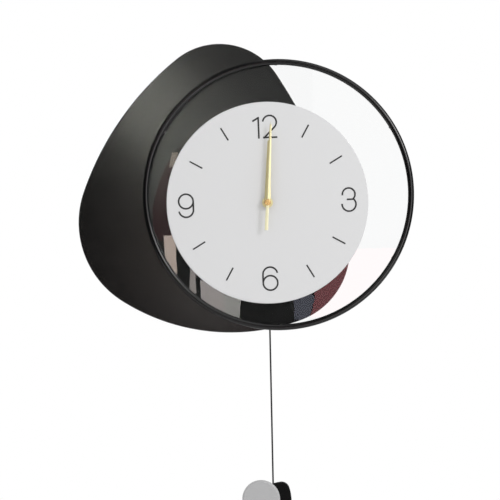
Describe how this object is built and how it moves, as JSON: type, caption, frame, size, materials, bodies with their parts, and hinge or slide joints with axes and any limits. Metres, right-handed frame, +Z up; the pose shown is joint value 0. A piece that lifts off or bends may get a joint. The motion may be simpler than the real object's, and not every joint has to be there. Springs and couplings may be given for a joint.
{
  "type": "pendulum wall clock",
  "caption": "Wall clock with a round dial on a clear disc inside a tube ring, a pebble-shaped back panel, turning hands on a battery movement and a swinging pendulum with an overlapping bob.",
  "frame": {"origin": "centre of the hanger's round entry hole, in the middle of its sheet, where the clock hangs on the wall", "axes": "+Z up, +Y towards the wall, +X to the right as seen from the front, so the dial faces -Y"},
  "size_m": [0.5005, 0.0532, 0.7225],
  "materials": {
    "panel_lacquer": "satin",
    "ring_coat": "satin",
    "clear_acrylic": "gloss",
    "dial_paint": "matte",
    "dial_print": "matte",
    "pad_foam": "matte",
    "zinc_steel": "satin",
    "pillar_aluminium": "satin",
    "post_plastic": "matte",
    "foot_rubber": "matte",
    "case_plastic": "satin",
    "natural_plastic": "satin",
    "bright_brass": "satin",
    "cell_can": "satin",
    "board_laminate": "satin",
    "copper_wire": "satin",
    "bearing_steel": "polished",
    "magnet_ferrite": "satin",
    "gilt_hand": "polished",
    "gilt_cap": "polished",
    "rod_coat": "satin",
    "bob_grey": "satin",
    "bob_black": "gloss"
  },
  "bodies": {
    "clock_body": {"back_panel": "panel_lacquer", "ring_frame": "ring_coat", "ring_nuts": "zinc_steel", "clear_disc": "clear_acrylic", "center_spacer": "natural_plastic", "standoffs": "pillar_aluminium", "standoff_screws": "zinc_steel", "standoff_nuts": "zinc_steel", "dial_disc": "dial_paint", "dial_numerals": "dial_print", "hour_ticks": "dial_print", "dial_pads": "pad_foam", "wall_hanger": "zinc_steel", "hanger_screws": "zinc_steel", "foot_posts": "post_plastic", "foot_tips": "foot_rubber", "movement_case": "case_plastic", "movement_cover": "case_plastic", "cover_screws": "zinc_steel", "threaded_bush": "bright_brass", "case_gasket": "foot_rubber", "front_washer": "bright_brass", "hex_nut": "bright_brass", "battery": "cell_can", "contact_plus": "zinc_steel", "contact_minus": "zinc_steel", "circuit_board": "board_laminate", "quartz_crystal": "bearing_steel", "motor_stator": "bearing_steel", "coil_bobbin": "natural_plastic", "coil_winding": "copper_wire", "train_bridge": "natural_plastic", "bridge_screws": "zinc_steel", "drive_coil": "copper_wire", "lever_pivot": "bearing_steel"},
    "minute_set": {"minute_arbor": "bright_brass", "minute_hand": "gilt_hand"},
    "hour_set": {"hour_wheel": "natural_plastic", "hour_hand": "gilt_hand"},
    "setting_set": {"setting_wheel": "natural_plastic", "setting_knob": "case_plastic"},
    "seconds_set": {"seconds_wheel": "natural_plastic", "second_hand": "gilt_hand", "hand_cap": "gilt_cap"},
    "third_set": {"third_wheel": "natural_plastic"},
    "center_set": {"center_wheel": "natural_plastic"},
    "fifth_set": {"fifth_wheel": "natural_plastic"},
    "rotor_set": {"rotor": "magnet_ferrite", "rotor_pinion": "natural_plastic"},
    "pendulum": {"pendulum_lever": "natural_plastic", "drive_magnet": "magnet_ferrite", "pendulum_rod": "rod_coat", "bob_disc": "bob_grey", "bob_pebble": "bob_black", "bob_weight": "zinc_steel", "bob_screws": "zinc_steel"}
  },
  "joints": [
    {"name": "minute_hand_turn", "type": "hinge", "parent": "clock_body", "child": "minute_set", "pos_m": [0.0132, -0.009, -0.095], "axis": [0, 1, 0], "continuous": true},
    {"name": "hour_hand_turn", "type": "hinge", "parent": "clock_body", "child": "hour_set", "pos_m": [0.0132, -0.009, -0.095], "axis": [0, 1, 0], "continuous": true},
    {"name": "setting_knob_turn", "type": "hinge", "parent": "clock_body", "child": "setting_set", "pos_m": [0.0132, -0.009, -0.0846], "axis": [0, 1, 0], "continuous": true},
    {"name": "second_hand_turn", "type": "hinge", "parent": "clock_body", "child": "seconds_set", "pos_m": [0.0132, -0.009, -0.095], "axis": [0, 1, 0], "continuous": true},
    {"name": "third_wheel_turn", "type": "hinge", "parent": "clock_body", "child": "third_set", "pos_m": [0.003, -0.009, -0.095], "axis": [0, 1, 0], "continuous": true},
    {"name": "center_wheel_turn", "type": "hinge", "parent": "clock_body", "child": "center_set", "pos_m": [0.0132, -0.009, -0.095], "axis": [0, 1, 0], "continuous": true},
    {"name": "fifth_wheel_turn", "type": "hinge", "parent": "clock_body", "child": "fifth_set", "pos_m": [0.0222, -0.009, -0.095], "axis": [0, 1, 0], "continuous": true},
    {"name": "rotor_turn", "type": "hinge", "parent": "clock_body", "child": "rotor_set", "pos_m": [0.0257, -0.009, -0.08894], "axis": [0, 1, 0], "continuous": true},
    {"name": "pendulum_swing", "type": "hinge", "parent": "clock_body", "child": "pendulum", "pos_m": [0.0132, -0.0092, -0.137], "axis": [0, 1, 0], "range_deg": [-8, 8]}
  ],
  "couplings": [
    {"joint": "hour_hand_turn", "follows": "minute_hand_turn", "ratio": 0.083333},
    {"joint": "setting_knob_turn", "follows": "minute_hand_turn", "ratio": -0.33333},
    {"joint": "third_wheel_turn", "follows": "second_hand_turn", "ratio": -0.13333},
    {"joint": "center_wheel_turn", "follows": "second_hand_turn", "ratio": 0.016667},
    {"joint": "fifth_wheel_turn", "follows": "second_hand_turn", "ratio": -5},
    {"joint": "rotor_turn", "follows": "second_hand_turn", "ratio": 30}
  ]
}
